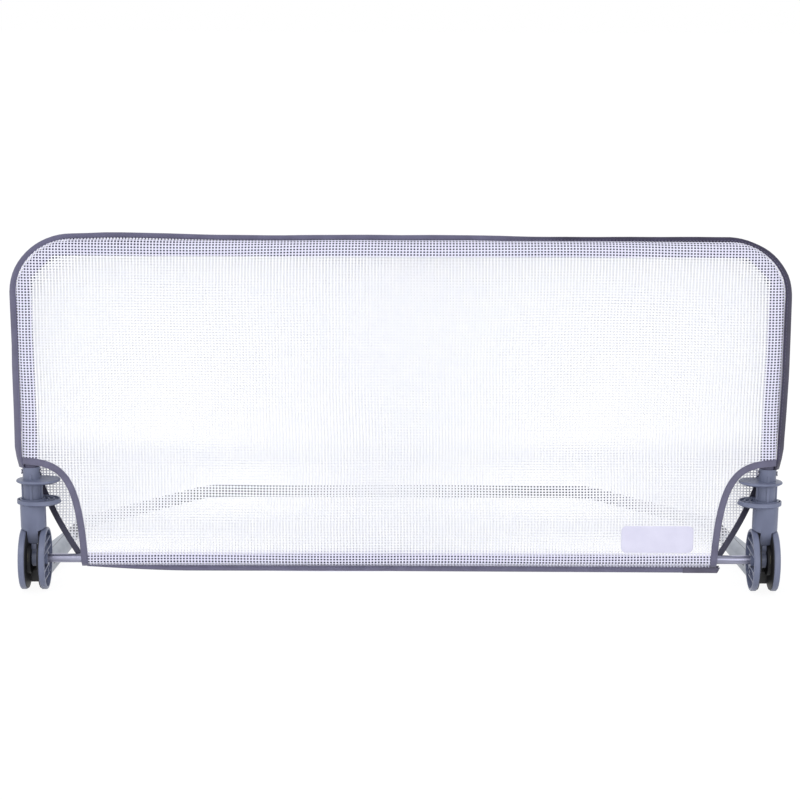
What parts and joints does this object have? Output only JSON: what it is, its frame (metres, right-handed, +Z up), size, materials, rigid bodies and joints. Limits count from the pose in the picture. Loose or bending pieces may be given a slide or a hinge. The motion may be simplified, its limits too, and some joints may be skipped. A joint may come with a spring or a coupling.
{
  "type": "folding bed guard rail",
  "caption": "Folding bed guard rail: a mesh panel on a tube frame that hinges at locking hubs on a U-shaped base tube lying under the mattress.",
  "frame": {"origin": "on the floor, under the middle of the part's box", "axes": "+X along the rail to the right as seen from outside the bed, +Y from the outside of the bed to under the mattress, +Z up"},
  "size_m": [0.9, 0.516, 0.4196],
  "materials": {
    "slate_plastic": "satin slate grey",
    "black_plastic": "matte black",
    "grey_plastic": "satin light grey",
    "steel": "plain steel",
    "painted_tube": "grey paint",
    "white_mesh": "open knitted mesh",
    "slate_tape": "woven tape",
    "dark_tape": "woven tape",
    "label_cloth": "smooth woven label"
  },
  "bodies": {
    "base": {"base_frame": "painted_tube", "hub_outer_cheek_left": "slate_plastic", "hub_inner_cheek_left": "slate_plastic", "hub_core_left": "black_plastic", "arm_socket_left": "grey_plastic", "hub_screw_upper_left": "steel", "hub_screw_lower_left": "steel", "socket_screw_left": "steel", "hub_outer_cheek_right": "slate_plastic", "hub_inner_cheek_right": "slate_plastic", "hub_core_right": "black_plastic", "arm_socket_right": "grey_plastic", "hub_screw_upper_right": "steel", "hub_screw_lower_right": "steel", "socket_screw_right": "steel"},
    "rail": {"cross_tube": "steel", "top_frame": "painted_tube", "mesh_front": "white_mesh", "mesh_back": "white_mesh", "seam_binding": "slate_tape", "bottom_binding": "slate_tape", "label_patch": "label_cloth", "axle_cap_left": "slate_plastic", "post_left": "slate_plastic", "upper_collar_left": "slate_plastic", "post_rivet_left": "steel", "lock_spring_left": "steel", "front_binding_left": "slate_tape", "back_binding_left": "dark_tape", "axle_cap_right": "slate_plastic", "post_right": "slate_plastic", "upper_collar_right": "slate_plastic", "post_rivet_right": "steel", "lock_spring_right": "steel", "front_binding_right": "slate_tape", "back_binding_right": "dark_tape"},
    "lock_left": {"lock_sleeve_left": "slate_plastic"},
    "lock_right": {"lock_sleeve_right": "slate_plastic"}
  },
  "joints": [
    {"name": "rail_fold", "type": "hinge", "parent": "base", "child": "rail", "pos_m": [0, -0.2212, 0.0368], "axis": [1, 0, 0], "range_deg": [-76, 180]},
    {"name": "lock_slide_left", "type": "slide", "parent": "rail", "child": "lock_left", "axis": [-0.0192, 0, 0.9998], "range_m": [0, 0.016], "stiffness_N_per_m": 400, "springref_m": -0.01, "deforming": ["lock_spring_left"]},
    {"name": "lock_slide_right", "type": "slide", "parent": "rail", "child": "lock_right", "axis": [0.0192, 0, 0.9998], "range_m": [0, 0.016], "stiffness_N_per_m": 400, "springref_m": -0.01, "deforming": ["lock_spring_right"]}
  ]
}
